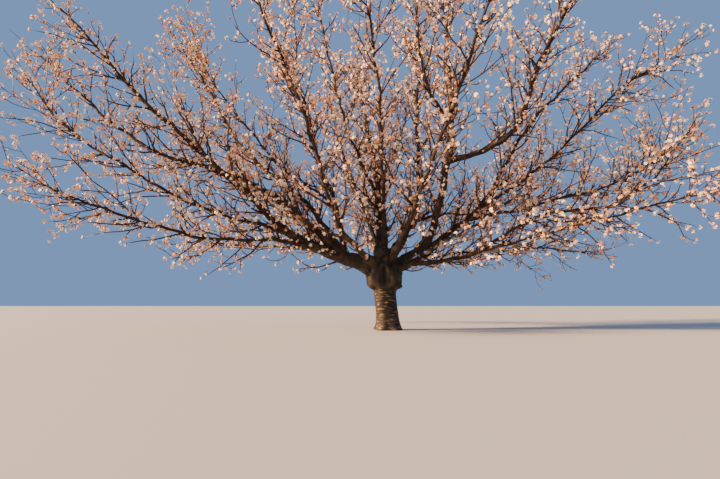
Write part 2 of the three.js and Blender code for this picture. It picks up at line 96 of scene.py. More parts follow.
# Each limb leaves the trunk at a height, or its parent limb at a distance from that limb's root. Its compass
# headings and its rises above level stand at even places from its root to its tip. Its first part is a bare
# bough, with a radius at its root and at its end. The rest is the stem of a mass.
LIMB_COLUMNS = ("name", "parent", "at", "length", "bare", "radius", "azimuth", "rise")
LIMB_ROWS = [
    ("left", "trunk", 1.06, 8.14, 3.6, (0.175, 0.044),
     (192, 192, 196, 202), (19, 10, 25, 45, 44, 40, 36, 36, 43, 47, 46, 52)),
    ("left_middle", "left", 0.86, 7.2, 3.0, (0.09, 0.037),
     (182, 182, 183, 188, 198, 206, 211), (49, 43, 42, 32, 28, 16, 18, 30, 37, 42, 41, 44, 44)),
    ("left_high", "left", 0.82, 7.2, 2.8, (0.07, 0.035),
     (166, 170), (59, 55, 52, 36, 29, 46, 56, 57, 58, 59, 59, 59, 54)),
    ("left_upright", "left", 0.8, 6.3, 2.5, (0.062, 0.03),
     (150, 140), (82, 81, 68, 68, 77, 72, 63, 60, 59, 64)),
    ("left_low", "left", 1.27, 4.8, 2.3, (0.048, 0.025),
     (205, 205, 208, 211), (14, 8, -8, 4, 5, 14, 12, 24, 36)),
    ("left_far", "left", 1.72, 5.85, 2.4, (0.044, 0.024),
     (190, 191, 194, 198, 201, 204), (28, 18, 7, 20, 30, 31, 35, 43, 55, 66)),
    ("left_inner", "left_upright", 0.95, 4.48, 1.2, (0.03, 0.019),
     (192, 188), (48, 30, 34, 48, 50, 52, 54, 56)),
    ("middle", "trunk", 1.15, 6.3, 2.9, (0.122, 0.048), (102, 98), (60, 76, 82, 60, 58, 64, 69, 71, 72)),
    ("middle_left", "middle", 1.5, 5.16, 1.5, (0.04, 0.024), (212, 206), (62, 60, 66, 80, 80, 78, 78)),
    ("middle_back", "middle", 1.8, 4.0, 1.5, (0.036, 0.022), (68, 60), (42, 52, 60, 66, 68)),
    ("right_upright", "trunk", 1.16, 6.75, 2.9, (0.118, 0.043),
     (48, 54), (42, 48, 60, 90, 91, 89, 86, 84, 80, 80)),
    ("right_inner", "right_upright", 1.0, 4.6, 2.1, (0.038, 0.022),
     (15, 10), (56, 10, 0, 16, 28, 38, 44, 48)),
    ("right_spread", "trunk", 1.12, 7.8, 2.9, (0.092, 0.035),
     (4, 8), (25, 24, 31, 46, 55, 56, 50, 46, 42, 38, 37, 39, 40)),
    ("right_tall", "right_spread", 0.74, 5.8, 3.0, (0.082, 0.054),
     (328, 318), (50, 65, 81, 82, 87, 93, 91, 90, 90, 90)),
    ("right_fork", "right_tall", 2.58, 3.0, 1.1, (0.046, 0.029), (228, 232), (15, 37, 73, 87, 92, 84)),
    ("right_knee", "right_tall", 1.83, 4.8, 2.5, (0.058, 0.042),
     (346, 344, 336, 334), (11, 12, 24, 41, 64, 75, 81, 65, 53, 54, 57, 64, 71)),
    ("right_out", "right_spread", 2.17, 5.625, 1.9, (0.04, 0.023),
     (350, 346), (27, 30, 37, 43, 47, 46, 34, 29, 32, 56)),
    ("right_far", "right_spread", 1.87, 5.625, 2.1, (0.04, 0.023),
     (6, 2), (7, 8, 16, 16, 17, 19, 28, 40, 43, 40)),
    ("right_low", "trunk", 1.04, 6.0, 2.5, (0.066, 0.028),
     (342, 346), (14, 8, 4, 24, 48, 8, -2, 20, 42, 50, 38)),
    ("right_lowest", "right_low", 1.6, 4.4, 1.7, (0.034, 0.02), (348, 344), (11, 12, 9, 14, 15, 11, 7, 8)),
    ("back_left", "trunk", 1.09, 6.3, 2.9, (0.098, 0.033), (142, 150), (22, 30, 34, 36, 38, 44)),
    ("back_left_low", "back_left", 1.2, 4.6, 2.0, (0.044, 0.022), (150, 158, 166), (4, 12, 2, 3, -2, 6)),
    ("back_middle", "trunk", 1.13, 6.2, 2.9, (0.092, 0.033), (98, 88), (32, 36, 38, 40, 42, 46)),
    ("back_upright", "back_middle", 0.8, 5.4, 2.3, (0.052, 0.026), (128, 120), (64, 60, 62, 66, 70)),
    ("back_right", "trunk", 1.06, 6.3, 2.9, (0.09, 0.033), (46, 34), (16, 26, 32, 34, 38, 42)),
    ("back_right_low", "back_right", 1.2, 5.2, 2.0, (0.044, 0.022), (30, 14, 2), (2, 9, 4, 3, 0, -8, 4)),
    ("front_left", "trunk", 1.12, 6.2, 2.4, (0.08, 0.03),
     (224, 228, 244, 250), (16, 26, 66, 68, 56, 42, 34, 30)),
    ("front_middle", "trunk", 1.19, 6.0, 2.3, (0.062, 0.027), (262, 258), (82, 76, 60, 48, 38, 34)),
    ("front_right", "trunk", 1.11, 6.2, 2.4, (0.08, 0.03), (302, 292), (40, 50, 60, 52, 40, 34)),
]
LIMBS = [Record(**dict(zip(LIMB_COLUMNS, row))) for row in LIMB_ROWS]

# The rule of the masses, as in the solids
STEM_TIP_RADIUS = 0.007
TWIG = Record(count=5, tries=34, steps=2, lift=0.2, wander=0.35, first=0.04, last=0.94, fork=50)
TWIG_LENGTH = Record(share=0.32, at_tip=0.5, at_last_try=0.5, length=(0.8, 1.2))
TWIG_SLIM = 0.6
TWIG_TIP_RADIUS = 0.005
GOLDEN_ANGLE = 137.5
GOLDEN_SHARE = 0.618
HOME_MARGIN = 0.06
LIMB_MARGIN = 0.025
TWIG_CLEAR_FROM = 0.3
SPRAY = Record(length=0.43, width=0.23)
SPRAY_GUARDS = [(0.5, SPRAY.width / 2), (0.75, SPRAY.width / 3), (1, 0.02)]
SPRAY_CLEAR = (0.2, 0.9)
DRAW = dict(
    noise=7, first_twig=20, twig_turn=21, vigour=22, flowers=30, flower_turn=31, flower_lean=32, stalk=33,
    facing=34, own_tint=37, tint=38, spray_tint=39, bud=40, petal_turn=41, flower_size=42, cup=43, leaves=44,
    leaf_turn=45, leaf_lean=46, stamens=47, leaf_length=48, share=50, turn=51, length=52, fork=53, sway=60,
    petal=100,
)
STEM_PLACE = 500

UP = np.array([0.0, 0.0, 1.0])
EAST = np.array([1.0, 0.0, 0.0])
NORTH = np.array([0.0, 1.0, 0.0])
WORD = np.uint64(0xFFFFFFFF)
NOISE_PRIMES = (73856093, 19349663, 83492791)
STEEP = 0.95
LEAST = 1e-12


# Numbers from 0 to 1 that depend only on whole numbers, as in the solids
def chance(seed, which):
    mixed = np.asarray(seed, np.uint64) ^ np.uint64((which + 1) * 0x9E3779B1 & 0xFFFFFFFF)
    mixed = mixed * np.uint64(0x85EBCA6B) & WORD
    mixed = (mixed ^ (mixed >> np.uint64(13))) * np.uint64(0xC2B2AE35) & WORD
    return (mixed ^ (mixed >> np.uint64(16))) / 4294967296.0


def draw(seed, what, step=0):
    return chance(seed, DRAW[what] + step)


def child_seed(seed, place):
    grown = np.asarray(seed, np.uint64) * np.uint64(31) + np.asarray(place, np.uint64)
    return (grown + np.uint64(1)) & WORD


def mix(low, high, share):
    return low + (high - low) * share


def smooth_step(low, high, value):
    share = np.clip((value - low) / (high - low), 0, 1)
    return share * share * (3 - 2 * share)


def unit(vectors):
    return vectors / np.linalg.norm(vectors, axis=-1, keepdims=True)


def heading_of(azimuth, rise):
    azimuth, rise = math.radians(azimuth), math.radians(rise)
    level = math.cos(rise)
    return np.array([level * math.cos(azimuth), level * math.sin(azimuth), math.sin(rise)])


# Two directions square to each heading and to each other
def across(heading):
    steep = np.abs(heading[..., 2:3]) > STEEP
    side = unit(np.cross(heading, np.where(steep, EAST, UP)))
    return side, np.cross(side, heading)


# A direction turned towards another that is square to it, by an angle in radians
def turned(first, second, angle):
    return first * np.cos(angle)[..., None] + second * np.sin(angle)[..., None]


# The direction square to each heading at a turn about it, by the golden angle from place to place
def outward_of(heading, place, turn):
    return turned(*across(heading), np.radians(GOLDEN_ANGLE * place + 360 * turn))


def leaning(along, outward, angle):
    return turned(along, outward, np.radians(angle))


def around(sides):
    return 2 * math.pi * np.arange(sides) / sides


def value_along(values, share):
    return np.interp(share * (len(values) - 1), range(len(values)), values)


def trunk_centre(height):
    height = np.asarray(height, float)
    over = TRUNK_LEAN.over * smooth_step(0, TRUNK_LEAN.by, height)
    return np.stack([over, np.zeros_like(over), height], axis=-1)


def point_at(points, share):
    place = share * (len(points) - 1)
    step = min(int(place), len(points) - 2)
    return mix(points[step], points[step + 1], place - step)


def heading_at(points, share):
    step = min(int(share * (len(points) - 1)), len(points) - 2)
    return unit(points[step + 1] - points[step])


def bough_radius(limb, share):
    root, end = limb.radius
    taper = end + (root - end) * (1 - share) ** TAPER_POWER
    return taper * (1 + COLLAR.swell * np.exp(-share * limb.bare / COLLAR.length))


def limb_stretch(limb, start, low, high, step, seed):
    steps = round((high - low) / step)
    points = [start]
    for i in range(steps):
        share = mix(low, high, (i + 0.5) / steps) / limb.length
        azimuth = value_along(limb.azimuth, share) + LIMB_KINK * (2 * chance(seed, 2 * i) - 1)
        rise = value_along(limb.rise, share) + LIMB_KINK * (2 * chance(seed, 2 * i + 1) - 1)
        points.append(points[-1] + heading_of(azimuth, rise) * (high - low) / steps)
    return np.array(points)


def inside_crown(points):
    depth = np.where(points[..., 1] < 0, CROWN.front, CROWN.radius)
    height = np.where(points[..., 2] > CROWN.middle, CROWN.top - CROWN.middle, CROWN.middle)
    level = (points[..., 0] / CROWN.radius) ** 2 + (points[..., 1] / depth) ** 2
    share = level + ((points[..., 2] - CROWN.middle) / height) ** 2
    return (share < 1) & (points[..., 2] > CROWN.clear)


# The paths of many shoots at once. The first step keeps the heading, and the next ones wander and lift.
def shoot_paths(start, heading, length, rule, seed):
    points = [start]
    along = heading
    for i in range(rule.steps):
        points.append(points[-1] + along * (length / rule.steps)[..., None])
        side, over = across(along)
        sideways = rule.wander * (chance(seed, 2 * i) - 0.5)
        upwards = rule.wander * (chance(seed, 2 * i + 1) - 0.5)
        along = along + side * sideways[..., None] + over * upwards[..., None]
        along = unit(along + UP * rule.lift / rule.steps)
    return np.stack(points, axis=-2)


# The least distance of a segment from each of many others
def segment_gaps(a0, a1, b0, b1):
    u, v, w = a1 - a0, b1 - b0, a0 - b0
    uu, uv, vv = u @ u, v @ u, (v * v).sum(1)
    uw, vw = w @ u, (v * w).sum(1)
    spread = uu * vv - uv * uv
    s = np.where(spread > LEAST, np.clip((uv * vw - vv * uw) / np.maximum(spread, LEAST), 0, 1), 0)
    t = np.clip((uv * s + vw) / vv, 0, 1)
    s = np.clip((uv * t - uw) / uu, 0, 1)
    return np.linalg.norm(w + s[:, None] * u - t[:, None] * v, axis=1)


def gaps_to_segments(point, b0, b1):
    v = b1 - b0
    share = np.clip(((point - b0) * v).sum(1) / (v * v).sum(1), 0, 1)
    return np.linalg.norm(b0 + share[:, None] * v - point, axis=1)


def lay_out_limbs():
    laid = {}
    for index, limb in enumerate(LIMBS):
        parent = laid.get(limb.parent)
        start = point_at(parent.points, limb.at / parent.rule.bare) if parent else trunk_centre(limb.at)
        seed = child_seed(index, 0)
        points = limb_stretch(limb, start, 0, limb.bare, BOUGH_STEP, seed)
        radii = np.array([bough_radius(limb, i / (len(points) - 1)) for i in range(len(points))])
        stem_seed = child_seed(seed, STEM_PLACE)
        stem_end = limb.length - SPRAY.length
        stem = Record(
            seed=stem_seed,
            points=limb_stretch(limb, points[-1], limb.bare, stem_end, STEM_STEP, stem_seed),
            length=stem_end - limb.bare,
            radius=(limb.radius[1], STEM_TIP_RADIUS),
        )
        laid[limb.name] = Record(rule=limb, points=points, radii=radii, stem=stem, seed=int(seed))
    return list(laid.values())


# The straight parts of paths: where each starts and where it ends
def segments(paths):
    return [np.concatenate([points[ends] for points in paths]) for ends in (slice(-1), slice(1, None))]


def straight_parts(limbs):
    stems = [limb.stem.points for limb in limbs]
    return Record(
        stems=segments(stems),
        owner=np.repeat(np.arange(len(stems)), [len(points) - 1 for points in stems]),
        boughs=segments([limb.points for limb in limbs]),
        bough_radius=np.concatenate([limb.radii[:-1] for limb in limbs]),
    )


def at_home(point, owner, parts, margin):
    if not inside_crown(point):
        return False
    gaps = gaps_to_segments(point, *parts.stems)
    mine = parts.owner == owner
    return gaps[~mine].min() > gaps[mine].min() + 2 * margin


def clear_of_boughs(start, end, radius, parts):
    gaps = segment_gaps(start, end, *parts.boughs)
    return bool((gaps > radius + LIMB_MARGIN + parts.bough_radius).all())


def twig_at(stem, place):
    seed = child_seed(stem.seed, place)
    turns = GOLDEN_SHARE * place + draw(stem.seed, "first_twig")
    share = mix(TWIG.first, TWIG.last, turns % 1)
    along = heading_at(stem.points, share)
    heading = leaning(along, outward_of(along, place, draw(stem.seed, "twig_turn")), TWIG.fork)
    vigour = mix(*TWIG_LENGTH.length, draw(seed, "vigour"))
    at_tip = mix(1, TWIG_LENGTH.at_tip, share)
    at_try = mix(1, TWIG_LENGTH.at_last_try, place / TWIG.tries)
    length = stem.length * TWIG_LENGTH.share * vigour * (at_tip * at_try)
    points = shoot_paths(point_at(stem.points, share), heading, length, TWIG, seed)
    return Record(seed=seed, points=points, root=TWIG_SLIM * mix(*stem.radius, share))


def spray_fits(root, heading, owner, parts):
    def out(share):
        return root + heading * SPRAY.length * share

    homely = all(at_home(out(share), owner, parts, reach) for share, reach in SPRAY_GUARDS)
    return homely and clear_of_boughs(*map(out, SPRAY_CLEAR), SPRAY.width / 2, parts)


def twig_fits(twig, owner, parts):
    points = twig.points
    homely = all(at_home(point, owner, parts, HOME_MARGIN) for point in points[1:])
    starts = [mix(points[0], points[1], TWIG_CLEAR_FROM), *points[1:-1]]
    clear = all(clear_of_boughs(a, b, twig.root, parts) for a, b in zip(starts, points[1:]))
    return homely and clear and spray_fits(points[-1], heading_at(points, 1), owner, parts)


# A path carried on by the length of its tip's spray
def with_tip(points):
    return np.vstack([points, points[-1] + heading_at(points, 1) * SPRAY.length])


# The twigs that the solids have too
def solid_twigs(limbs):
    parts = straight_parts(limbs)
    kept = []
    for owner, limb in enumerate(limbs):
        mine = []
        for place in range(TWIG.tries):
            twig = twig_at(limb.stem, place)
            if len(mine) < TWIG.count and twig_fits(twig, owner, parts):
                mine.append(Record(seed=twig.seed, points=with_tip(twig.points), root=twig.root, owner=owner))
        kept += mine
    return kept


# The smooth routes of limbs and twigs, and the fine ends of both
ROUTE_STEP = 0.055
LIMB_EASE = 11
STEM_FULLNESS = 0.7
TWIG_POINTS = 11
TWIG_EASE = 3
TWIG_SWEEP = 0.13
TWIG_TAPER = (0, 0.7, 1)
FINE_TIP = 0.0025
TWIG_SIDES = 3
LIMB_POINTS = 110
SWAY = [Record(reach=0.012, wave=0.83), Record(reach=0.006, wave=0.37)]
SWAY_FROM = 0.5


# A rule like another, with some of its values changed
def like(rule, **changed):
    return Record(**{**vars(rule), **changed})


# Finer growth: how far apart, how long and how thick the shoots of each order are. Places number the shoots
# of one parent. Hanging shoots are shorter, but the low limbs bear long thin ones too.
BRANCHES = Record(places=900, spacing=0.31, first=0.1, last=0.95, fork=41, length=(0.7, 2.2), at_tip=0.42,
                  steps=7, lift=0.75, wander=0.45, slim=0.6, thickest=0.022, tip=0.007)
SIDE_TWIGS = Record(places=600, spacing=0.2, first=0.1, last=0.95, fork=43, length=(0.22, 0.9),
                    at_tip=0.55, steps=4, lift=0.8, wander=0.6, slim=0.75, thickest=0.015, tip=0.006)
LIMB_TWIGS = like(SIDE_TWIGS, spacing=0.2, first=0.06, last=0.97, length=(0.3, 1.05))
SHOOTS = Record(places=700, spacing=0.52, first=0.12, last=0.92, fork=46, length=(0.1, 0.34), at_tip=0.7,
                steps=2, lift=0.5, wander=0.6, slim=0.85, thickest=0.01, tip=0.0055)
LIMB_SHOOTS = like(SHOOTS, spacing=0.15, first=0.08)
SPURS = Record(places=800, spacing=0.26, first=0.08, last=0.98, fork=62, length=(0.018, 0.045), at_tip=1.0,
               steps=1, lift=0.2, wander=0.0, slim=1.4, thickest=0.011, tip=0.003)
LIMB_SPURS = like(SPURS, spacing=0.2, first=0.12, length=(0.03, 0.07))
FORK_SPREAD = (0.8, 1.2)
ROOT_DEPTH = 0.8
HANGING = Record(share=0.68, over=(-0.8, 0.2))
TRAILING = like(SIDE_TWIGS, places=500, spacing=0.13, first=0.25, last=0.94, fork=42, length=(0.9, 2.0),
                at_tip=0.75, steps=6, lift=-0.2, wander=0.4)
TRAILING_BELOW = -0.3
LOW_LIMBS = ("left", "left_low", "left_far", "right_far", "right_out", "right_low", "right_lowest")


def points_at(points, run, wanted):
    return np.stack([np.interp(wanted, run, points[:, axis]) for axis in range(3)], axis=1)


def evenly_spaced(points, count):
    run = np.concatenate([[0], np.cumsum(np.linalg.norm(np.diff(points, axis=0), axis=1))])
    return points_at(points, run, np.linspace(0, run[-1], count))


# Rounds the corners of paths, and leaves both ends where they are
def eased(points, passes):
    points = points.copy()
    for _ in range(passes):
        points[..., 1:-1, :] = (points[..., :-2, :] + 2 * points[..., 1:-1, :] + points[..., 2:, :]) / 4
    return points


# A limb's whole route, from its root through its stem to its tip, with its radius at each point
def limb_route(limb):
    rule = limb.rule
    corners = np.vstack([limb.points, with_tip(limb.stem.points)[1:]])
    count = 1 + round(rule.length / ROUTE_STEP)
    points = eased(evenly_spaced(corners, count), LIMB_EASE)
    run = np.linspace(0, rule.length, count)
    for i, sway in enumerate(SWAY):
        phase = 2 * math.pi * np.array([draw(limb.seed, "sway", 3 * i + axis) for axis in range(3)])
        swing = np.sin(2 * math.pi * run[:, None] / sway.wave + phase)
        points += swing * (sway.reach * smooth_step(0, SWAY_FROM, run))[:, None]
    radii = bough_radius(rule, np.minimum(run / rule.bare, 1))
    stem_end = rule.bare + limb.stem.length
    thin = np.interp(run, [rule.bare, stem_end, rule.length], [*limb.stem.radius, FINE_TIP])
    along = np.clip((run - rule.bare) / (stem_end - rule.bare), 0, 1)
    thin += STEM_FULLNESS * limb.stem.radius[0] * along * (1 - along)
    return Record(points=points, radii=np.where(run < rule.bare, radii, thin), run=run)


# Many paths with as many points each, to grow the next order from
def path_group(points, radii, seeds):
    points = np.array(points)
    length = np.linalg.norm(np.diff(points, axis=1), axis=2).sum(1)
    return Record(points=points, radii=np.array(radii), length=length, seed=np.array(seeds, np.uint64))


def limb_group(limbs, routes):
    points, radii = [], []
    for route in routes:
        wanted = np.linspace(0, route.run[-1], LIMB_POINTS)
        points.append(points_at(route.points, route.run, wanted))
        radii.append(np.interp(wanted, route.run, route.radii))
    return path_group(points, radii, [limb.seed for limb in limbs])


def twig_group(twigs, routes):
    points, radii = [], []
    share = np.linspace(0, 1, TWIG_POINTS)
    for twig in twigs:
        route = routes[twig.owner].points
        nearest = route[np.argmin(np.linalg.norm(route - twig.points[0], axis=1))]
        path = eased(evenly_spaced(np.vstack([nearest, twig.points[1:]]), TWIG_POINTS), TWIG_EASE)
        reach = np.linalg.norm(path[-1] - path[0])
        points.append(path + UP * (TWIG_SWEEP * reach * share**2)[:, None])
        radii.append(np.interp(share, TWIG_TAPER, [twig.root, TWIG_TIP_RADIUS, FINE_TIP]))
    return path_group(points, radii, [twig.seed for twig in twigs])


def sample(paths, owner, share):
    place = share * (paths.points.shape[1] - 1)
    step = np.minimum(place.astype(int), paths.points.shape[1] - 2)
    part = place - step
    before, after = paths.points[owner, step], paths.points[owner, step + 1]
    radius = mix(paths.radii[owner, step], paths.radii[owner, step + 1], part)
    return mix(before, after, part[:, None]), unit(after - before), radius


def only(paths, keep):
    return Record(**{name: value[keep] for name, value in vars(paths).items()})


def together(groups):
    names = vars(groups[0])
    return Record(**{name: np.concatenate([getattr(group, name) for group in groups]) for name in names})


# For counts of children: the parent of each child, and its place among that parent's children
def places_on(count):
    owner = np.repeat(np.arange(len(count)), count)
    return owner, np.arange(len(owner)) - np.repeat(np.cumsum(count) - count, count)


# The next order of shoots, spread along each path of a group and turned about it by the golden angle
def grow(parents, rule):
    stretch = parents.length * (rule.last - rule.first)
    count = np.round(stretch / rule.spacing).astype(int)
    owner, place = places_on(count)
    seed = child_seed(parents.seed[owner], place + rule.places)
    share = mix(rule.first, rule.last, (place + draw(seed, "share")) / count[owner])
    start, along, radius = sample(parents, owner, share)
    outward = outward_of(along, place, draw(parents.seed[owner], "turn"))
    heading = leaning(along, outward, rule.fork * mix(*FORK_SPREAD, draw(seed, "fork")))
    length = mix(*rule.length, draw(seed, "length")) * mix(1, rule.at_tip, share)
    length = length * mix(HANGING.share, 1, smooth_step(*HANGING.over, outward[:, 2]))
    start = start + outward * (ROOT_DEPTH * radius)[:, None]
    points = shoot_paths(start, heading, length, rule, seed)
    root = np.minimum(rule.slim * radius, rule.thickest)
    radii = mix(root[:, None], rule.tip, np.linspace(0, 1, rule.steps + 1))
    shoots = path_group(points, radii, seed)
    shoots.outward = outward
    shoots.parent_seed = parents.seed[owner]
    inside_box = ((points > cad_low) & (points < cad_high)).all(-1)
    return only(shoots, (inside_crown(points) & inside_box).all(1))


# The faces between rings of vertices, and from the last ring to the one vertex that comes after it
def ring_faces(rings, sides):
    spoke = np.arange(sides)
    beside = (spoke + 1) % sides
    start = sides * np.arange(rings - 1)[:, None]
    low, next_low = (start + spoke).ravel(), (start + beside).ravel()
    last = (rings - 1) * sides
    faces = [
        (low, next_low, next_low + sides),
        (low, next_low + sides, low + sides),
        (last + spoke, last + beside, np.full(sides, last + sides)),
    ]
    return np.concatenate([np.stack(corners, axis=1) for corners in faces])


# Many copies of one pattern of faces, for vertices given copy by copy
def spread_faces(verts, faces):
    count, size = verts.shape[:2]
    faces = np.array(faces)[None] + (np.arange(count) * size)[:, None, None]
    return verts.reshape(-1, 3), faces.reshape(-1, 3)


# Closed tubes along many paths of alike length, with a cap at the root and a point at the tip
def tube_mesh(points, radii, sides, relief=None):
    count, rings, _ = points.shape
    along = unit(np.gradient(points, axis=1))
    side = across(along[:, 0])[0]
    spokes = []
    for ring in range(rings - 1):
        side = unit(side - along[:, ring] * (side * along[:, ring]).sum(1, keepdims=True))
        over = np.cross(along[:, ring], side)
        spokes.append(turned(side[:, None], over[:, None], around(sides)))
    spokes = np.stack(spokes, axis=1)
    walls = points[:, :-1, None] + spokes * radii[:, :-1, None, None]
    if relief is not None:
        walls = walls + spokes * relief(walls, radii[:, :-1, None])[..., None]
    verts = np.concatenate([walls.reshape(count, -1, 3), points[:, -1:]], axis=1)
    cap = [[0, i + 1, i] for i in range(1, sides - 1)]
    return spread_faces(verts, np.concatenate([ring_faces(rings - 1, sides), cap]))


# Three-sided spikes, each from a ring round its foot to its tip
def spike_mesh(foot, tip, radius):
    side, over = across(unit(tip - foot))
    ring = foot[:, None] + turned(side[:, None], over[:, None], around(3)) * radius[:, None, None]
    return spread_faces(np.concatenate([ring, tip[:, None]], axis=1), [[0, 1, 3], [1, 2, 3], [2, 0, 3]])


def joined(meshes):
    verts, faces, start = [], [], 0
    for part_verts, part_faces in meshes:
        verts.append(part_verts)
        faces.append(part_faces + start)
        start += len(part_verts)
    return np.concatenate(verts), np.concatenate(faces)


def placed(name, data):
    thing = bpy.data.objects.new(name, data)
    bpy.context.scene.collection.objects.link(thing)
    return thing


def object_from(name, verts_and_faces, material, smooth=True):
    verts, faces = verts_and_faces
    mesh = bpy.data.meshes.new(name)
    mesh.from_pydata(verts, [], faces, shade_flat=not smooth)
    mesh.materials.append(material)
    return placed(name, mesh)


# Smooth values from -1 to 1 that change over a distance of about 1
def noise(points):
    cell = np.floor(points).astype(np.int64)
    part = smooth_step(0, 1, points - cell)
    total = np.zeros(points.shape[:-1])
    for corner in np.ndindex(2, 2, 2):
        seed = np.bitwise_xor.reduce((cell + corner) * NOISE_PRIMES, axis=-1).astype(np.uint64) & WORD
        weight = np.prod(np.where(corner, part, 1 - part), axis=-1)
        total += weight * (2 * draw(seed, "noise") - 1)
    return total


# The depth of a layer of bark, and the size of its lumps. Knots and cracks are shares of a limb's radius.
KNOTS = (0.07, 0.11)
CRACKS = (0.06, (0.035, 0.035, 0.05))
LIMB_GRAIN = (0.0012, 0.012)


def layer(points, rule):
    depth, size = rule
    return depth * noise(points / size)


def limb_relief(points, radius):
    knots = radius * (layer(points, KNOTS) - np.abs(layer(points, CRACKS)))
    return knots + layer(points, LIMB_GRAIN)


# A limb's bark, in two lengths that run into each other, with fewer sides where the limb is thin
THIN_LIMB = 0.026
THICK_SIDES = 11
THIN_SIDES = 6


def limb_tubes(route):
    thin = int(np.argmax(route.radii < THIN_LIMB))
    lengths = [(slice(0, thin + 2), THICK_SIDES), (slice(thin, None), THIN_SIDES)]
    return [
        tube_mesh(route.points[None, part], route.radii[None, part], sides, limb_relief)
        for part, sides in lengths
    ]


# The trunk, its swollen graft and the roots of its limbs, made into one skin
SKIN_GRAIN = 0.02
SKIN_EASE = 8
TRUNK_TURN = 96
TRUNK_RISE = 0.02
TRUNK_EASE = 2
BELOW_GROUND = 0.06
LIMB_ROOT = Record(length=1.0, shrink_from=0.78, thicker=1.03, end=0.45, sides=20)
STUMP_SKIN = Record(share=0.9, rings=12, sides=24, end=0.002)
BALL = Record(rings=11, sides=16, pole=0.001)

# Azimuth, height, distance from the trunk's middle and radius of each swelling of the graft
BURLS = [
    (206, 0.83, 0.235, 0.105), (-24, 0.82, 0.245, 0.095), (-62, 0.86, 0.235, 0.09),
    (100, 0.85, 0.235, 0.1), (40, 0.88, 0.24, 0.095), (150, 0.84, 0.235, 0.095),
]

stump_root = trunk_centre(STUMP.height)
stump_heading = heading_of(STUMP.azimuth, STUMP.rise)


def trunk_tube():
    known, radius, fold = np.array(TRUNK_STATIONS).T
    heights = np.arange(-BELOW_GROUND, known[-1], TRUNK_RISE)
    radius = eased(np.interp(heights, known, radius)[:, None], TRUNK_EASE)
    turn = around(TRUNK_TURN)
    folds = np.interp(heights, known, fold)[:, None] * np.cos(TRUNK_FOLDS * (turn - math.radians(FOLD_TURN)))
    centres = trunk_centre(heights)
    walls = centres[:, None] + (radius * (1 + folds))[..., None] * turned(EAST, NORTH, turn)
    verts = np.vstack([walls.reshape(-1, 3), centres[-1:], centres[:1]])
    spoke = np.arange(TRUNK_TURN)
    cap = np.stack([(spoke + 1) % TRUNK_TURN, spoke, np.full(TRUNK_TURN, len(verts) - 1)], axis=1)
    return verts, np.concatenate([ring_faces(len(heights), TRUNK_TURN), cap])


def ball(centre, radius):
    rise = np.radians(np.linspace(-90, 90, BALL.rings))
    points = centre + UP * (radius * np.sin(rise))[:, None]
    radii = np.maximum(radius * np.cos(rise), BALL.pole)
    return tube_mesh(points[None], radii[None], BALL.sides)


def limb_roots(limbs, routes):
    meshes = []
    for limb, route in zip(limbs, routes):
        if limb.rule.parent == "trunk":
            near = route.run <= LIMB_ROOT.length
            shrink = smooth_step(LIMB_ROOT.shrink_from, LIMB_ROOT.length, route.run[near])
            radii = route.radii[near] * mix(LIMB_ROOT.thicker, LIMB_ROOT.end, shrink)
            meshes.append(tube_mesh(route.points[None, near], radii[None], LIMB_ROOT.sides))
    return meshes


def stump_tube():
    share = np.linspace(0, STUMP_SKIN.share, STUMP_SKIN.rings)
    points = stump_root + stump_heading * (STUMP.length * share)[:, None]
    points = np.vstack([points, points[-1] + stump_heading * STUMP_SKIN.end])
    radii = np.append(mix(STUMP.root, STUMP.tip, share), 0)
    return tube_mesh(points[None], radii[None], STUMP_SKIN.sides)


# Layers of the trunk's bark: depth, lumps to a radian and height of lump, or depth and size of lump
WRAPS = dict(
    bands=(0.003, 3.2, 0.05), ridges=(0.0025, 4.4, 0.022), flutes=(0.012, 2.2, 0.5),
    folds=(0.05, 4.2, 0.3), pleats=(0.024, 9.0, 0.22),
)
GRAFT_LUMPS = (0.022, 0.12)
ROUGH_BARK = [(0.005, 0.06), (0.003, 0.027)]
TRUNK_GRAIN = (0.0014, 0.014)
GRAFT_SWELL = 0.0272
GROOVE = Record(azimuth=-94, width=0.085, depth=0.06, above=(0.76, 0.86), below=(1.1, 1.2))

# Distances over which the trunk turns into limbs, and heights over which its stem ends and its graft starts
TRUNK_REACH = (0.36, 0.5)
STEM_TOP = (0.7, 0.78)
GRAFT_FOOT = (0.74, 0.82)


# How far the bark of the trunk and the fork stands out from its smooth skin
def trunk_relief(points):
    height = points[:, 2]
    offset = points - trunk_centre(height)
    turn = np.arctan2(offset[:, 1], offset[:, 0])
    circle = np.stack([np.cos(turn), np.sin(turn)], axis=1)

    def wrapped(name):
        depth, turns, rise = WRAPS[name]
        return depth * noise(np.column_stack([circle * turns, height / rise]))

    on_trunk = 1 - smooth_step(*TRUNK_REACH, np.hypot(offset[:, 0], offset[:, 1]))
    stem = on_trunk * (1 - smooth_step(*STEM_TOP, height))
    graft = on_trunk * smooth_step(*GRAFT_FOOT, height)
    aside = np.angle(np.exp(1j * (turn - math.radians(GROOVE.azimuth))))
    groove = GROOVE.depth * np.exp(-((aside / GROOVE.width) ** 2))
    groove *= smooth_step(*GROOVE.above, height) * (1 - smooth_step(*GROOVE.below, height))
    folds = GRAFT_SWELL - np.abs(wrapped("folds")) - np.abs(wrapped("pleats")) - groove
    relief = stem * (wrapped("bands") + np.maximum(wrapped("ridges"), 0) + wrapped("flutes"))
    relief += graft * (folds + layer(points, GRAFT_LUMPS))
    relief += (1 - stem) * sum(layer(points, rule) for rule in ROUGH_BARK)
    return relief + layer(points, TRUNK_GRAIN)


